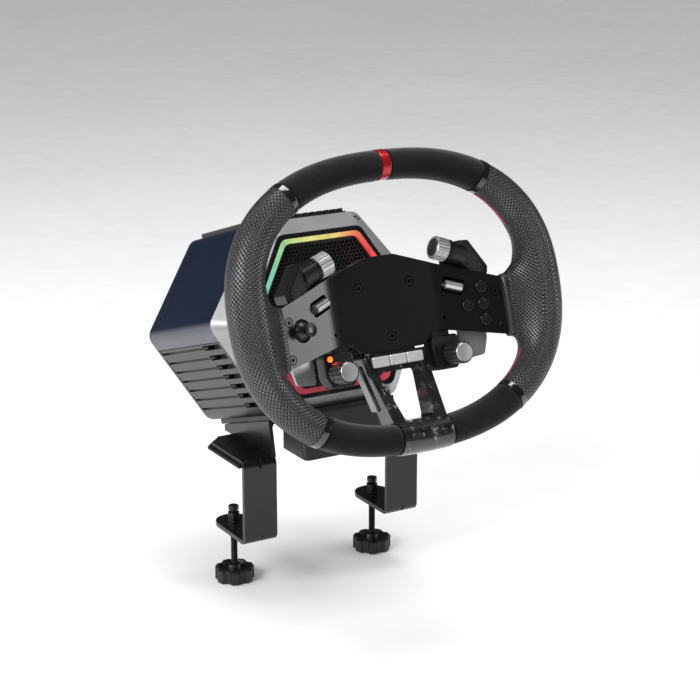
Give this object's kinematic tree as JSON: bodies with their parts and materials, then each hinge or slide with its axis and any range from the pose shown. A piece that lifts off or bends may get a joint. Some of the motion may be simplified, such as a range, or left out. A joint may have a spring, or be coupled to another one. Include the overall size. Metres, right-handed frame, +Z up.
{
  "type": "racing wheel with direct-drive base",
  "caption": "Oval racing wheel with leather and suede rim, buttons, paddles and knobs on a hexagonal direct-drive base held by two screw desk clamps.",
  "frame": {"origin": "middle of the desk's top front edge, midway between the two clamps", "axes": "+X to the driver's right, +Y away from the driver, +Z up"},
  "size_m": [0.3088, 0.3377, 0.4065],
  "materials": {
    "grey_casting": "die cast, satin grey powder coat",
    "silver_paint": "satin paint",
    "black_gloss": "gloss",
    "grille_black": "matte",
    "light_diffuser": "translucent",
    "blue_panel": "satin metallic lacquer",
    "black_metal": "satin",
    "black_plastic": "fine texture",
    "socket_metal": "polished",
    "motor_iron": "machined",
    "bearing_steel": "ground",
    "circuit_board": "solder mask",
    "screw_steel": "black oxide",
    "black_steel": "satin powder coat",
    "pad_rubber": "matte",
    "shaft_steel": "turned",
    "core_aluminium": "as cast",
    "grip_leather": "perforated",
    "suede": "napped",
    "red_band": "metallic",
    "faceplate_black": "fine matte anodising",
    "hub_aluminium": "black anodised",
    "carbon_gloss": "forged carbon under gloss lacquer",
    "satin_trim": "satin",
    "lens_red": "lit lens",
    "ring_black": "satin",
    "paddle_grey": "bead blasted",
    "silver_control": "satin",
    "black_rubber": "matte",
    "gimbal_plastic": "plain",
    "silver_key": "satin silver",
    "thread_steel": "black oxide"
  },
  "bodies": {
    "base": {"base_housing": "grey_casting", "front_cover": "silver_paint", "bezel_ring": "black_gloss", "front_grille": "grille_black", "led_ring": "light_diffuser", "side_panels": "blue_panel", "top_vent": "black_metal", "base_plate": "black_metal", "foot_cover": "black_plastic", "rear_cover": "black_plastic", "rear_sockets": "socket_metal", "motor_stator": "motor_iron", "shaft_bearings": "bearing_steel", "control_board": "circuit_board", "base_screws": "screw_steel", "clamp_bracket_left": "black_steel", "clamp_bracket_right": "black_steel", "desk_pads": "pad_rubber"},
    "wheel": {"steering_shaft": "shaft_steel", "motor_rotor": "motor_iron", "rim_core": "core_aluminium", "grip_left": "grip_leather", "grip_right": "grip_leather", "suede_top": "suede", "suede_bottom": "suede", "joint_rings": "black_gloss", "centre_band": "red_band", "faceplate": "faceplate_black", "plate_screws": "screw_steel", "rear_housing": "black_plastic", "wheel_hub": "hub_aluminium", "spoke_frame": "carbon_gloss", "spoke_trims": "satin_trim", "upper_pods": "black_plastic", "lower_pods": "black_plastic", "indicator_lens": "lens_red"},
    "release_ring": {"quick_release_ring": "ring_black"},
    "paddle_left_body": {"paddle_left": "paddle_grey"},
    "paddle_right_body": {"paddle_right": "paddle_grey"},
    "toggle_left_body": {"toggle_left": "silver_control"},
    "toggle_right_body": {"toggle_right": "silver_control"},
    "upper_knob_left_body": {"upper_knob_left": "silver_control"},
    "upper_knob_right_body": {"upper_knob_right": "silver_control"},
    "thumb_encoder_left_body": {"thumb_encoder_left": "silver_control"},
    "thumb_encoder_right_body": {"thumb_encoder_right": "silver_control"},
    "round_button_1_body": {"round_button_1": "black_rubber"},
    "round_button_2_body": {"round_button_2": "black_rubber"},
    "round_button_3_body": {"round_button_3": "black_rubber"},
    "round_button_4_body": {"round_button_4": "black_rubber"},
    "thumb_stick_body": {"thumb_stick": "black_rubber"},
    "stick_gimbal_body": {"stick_gimbal": "gimbal_plastic"},
    "spoke_key_1_body": {"spoke_key_1": "silver_key"},
    "spoke_key_2_body": {"spoke_key_2": "silver_key"},
    "spoke_key_3_body": {"spoke_key_3": "silver_key"},
    "press_foot_left": {"clamp_foot_left": "black_plastic"},
    "screw_left": {"clamp_screw_left": "thread_steel", "clamp_knob_left": "black_plastic"},
    "press_foot_right": {"clamp_foot_right": "black_plastic"},
    "screw_right": {"clamp_screw_right": "thread_steel", "clamp_knob_right": "black_plastic"}
  },
  "joints": [
    {"name": "steering", "type": "hinge", "parent": "base", "child": "wheel", "pos_m": [0, -0.0944, 0.1583], "axis": [0, -0.9511, 0.309], "range_deg": [-540, 540]},
    {"name": "release_turn", "type": "hinge", "parent": "wheel", "child": "release_ring", "pos_m": [0, -0.04685, 0.14285], "axis": [0, -0.9511, 0.309], "range_deg": [0, 35]},
    {"name": "paddle_pull_left", "type": "hinge", "parent": "wheel", "child": "paddle_left_body", "pos_m": [-0.048, -0.07633, 0.15243], "axis": [0, 0.309, 0.9511], "range_deg": [0, 4], "stiffness_Nm_per_rad": 4, "springref_deg": -1.72},
    {"name": "toggle_flip_left", "type": "hinge", "parent": "wheel", "child": "toggle_left_body", "pos_m": [-0.06482, -0.091, 0.16214], "axis": [-0.9102, -0.3279, -0.2531], "range_deg": [-12, 12], "stiffness_Nm_per_rad": 0.05},
    {"name": "knob_spin_left", "type": "hinge", "parent": "wheel", "child": "upper_knob_left_body", "pos_m": [-0.0556, -0.08544, 0.19429], "axis": [0.9397, 0.1057, 0.3253], "continuous": true},
    {"name": "encoder_spin_left", "type": "hinge", "parent": "wheel", "child": "thumb_encoder_left_body", "pos_m": [-0.0549, -0.12151, 0.1137], "axis": [0, -0.9511, 0.309], "continuous": true},
    {"name": "paddle_pull_right", "type": "hinge", "parent": "wheel", "child": "paddle_right_body", "pos_m": [0.048, -0.07633, 0.15243], "axis": [0, -0.309, -0.9511], "range_deg": [0, 4], "stiffness_Nm_per_rad": 4, "springref_deg": -1.72},
    {"name": "toggle_flip_right", "type": "hinge", "parent": "wheel", "child": "toggle_right_body", "pos_m": [0.06482, -0.091, 0.16214], "axis": [0.9102, -0.3279, -0.2531], "range_deg": [-12, 12], "stiffness_Nm_per_rad": 0.05},
    {"name": "knob_spin_right", "type": "hinge", "parent": "wheel", "child": "upper_knob_right_body", "pos_m": [0.0556, -0.08544, 0.19429], "axis": [-0.9397, 0.1057, 0.3253], "continuous": true},
    {"name": "encoder_spin_right", "type": "hinge", "parent": "wheel", "child": "thumb_encoder_right_body", "pos_m": [0.0549, -0.12151, 0.1137], "axis": [0, -0.9511, 0.309], "continuous": true},
    {"name": "round_press_1", "type": "slide", "parent": "wheel", "child": "round_button_1_body", "axis": [0.2487, 0.9212, -0.2993], "range_m": [0, 0.001], "stiffness_N_per_m": 500, "springref_m": -0.001},
    {"name": "round_press_2", "type": "slide", "parent": "wheel", "child": "round_button_2_body", "axis": [0.2487, 0.9212, -0.2993], "range_m": [0, 0.001], "stiffness_N_per_m": 500, "springref_m": -0.001},
    {"name": "round_press_3", "type": "slide", "parent": "wheel", "child": "round_button_3_body", "axis": [0.2487, 0.9212, -0.2993], "range_m": [0, 0.001], "stiffness_N_per_m": 500, "springref_m": -0.001},
    {"name": "round_press_4", "type": "slide", "parent": "wheel", "child": "round_button_4_body", "axis": [0.2487, 0.9212, -0.2993], "range_m": [0, 0.001], "stiffness_N_per_m": 500, "springref_m": -0.001},
    {"name": "key_press_1", "type": "slide", "parent": "wheel", "child": "spoke_key_1_body", "axis": [0, 0.9511, -0.309], "range_m": [0, 0.001], "stiffness_N_per_m": 500, "springref_m": -0.001},
    {"name": "key_press_2", "type": "slide", "parent": "wheel", "child": "spoke_key_2_body", "axis": [0, 0.9511, -0.309], "range_m": [0, 0.001], "stiffness_N_per_m": 500, "springref_m": -0.001},
    {"name": "key_press_3", "type": "slide", "parent": "wheel", "child": "spoke_key_3_body", "axis": [0, 0.9511, -0.309], "range_m": [0, 0.001], "stiffness_N_per_m": 500, "springref_m": -0.001},
    {"name": "stick_up_down", "type": "hinge", "parent": "wheel", "child": "stick_gimbal_body", "pos_m": [-0.08647, -0.10346, 0.14778], "axis": [0.9686, 0.2365, -0.0768], "range_deg": [-14, 14], "stiffness_Nm_per_rad": 0.05},
    {"name": "stick_left_right", "type": "hinge", "parent": "stick_gimbal_body", "child": "thumb_stick_body", "pos_m": [-0.08647, -0.10346, 0.14778], "axis": [0, 0.309, 0.9511], "range_deg": [-14, 14], "stiffness_Nm_per_rad": 0.05},
    {"name": "clamp_spin_left", "type": "hinge", "parent": "press_foot_left", "child": "screw_left", "pos_m": [-0.072, 0.048, -0.08], "axis": [0, 0, 1], "range_deg": [-720, 10801]},
    {"name": "clamp_lift_left", "type": "slide", "parent": "base", "child": "press_foot_left", "axis": [0, 0, 1], "range_m": [-0.001, 0.03]},
    {"name": "clamp_spin_right", "type": "hinge", "parent": "press_foot_right", "child": "screw_right", "pos_m": [0.072, 0.048, -0.08], "axis": [0, 0, 1], "range_deg": [-720, 10801]},
    {"name": "clamp_lift_right", "type": "slide", "parent": "base", "child": "press_foot_right", "axis": [0, 0, 1], "range_m": [-0.001, 0.03]}
  ],
  "couplings": [
    {"joint": "clamp_spin_left", "follows": "clamp_lift_left", "rad_per_m": 6283.2},
    {"joint": "clamp_spin_right", "follows": "clamp_lift_right", "rad_per_m": 6283.2}
  ]
}
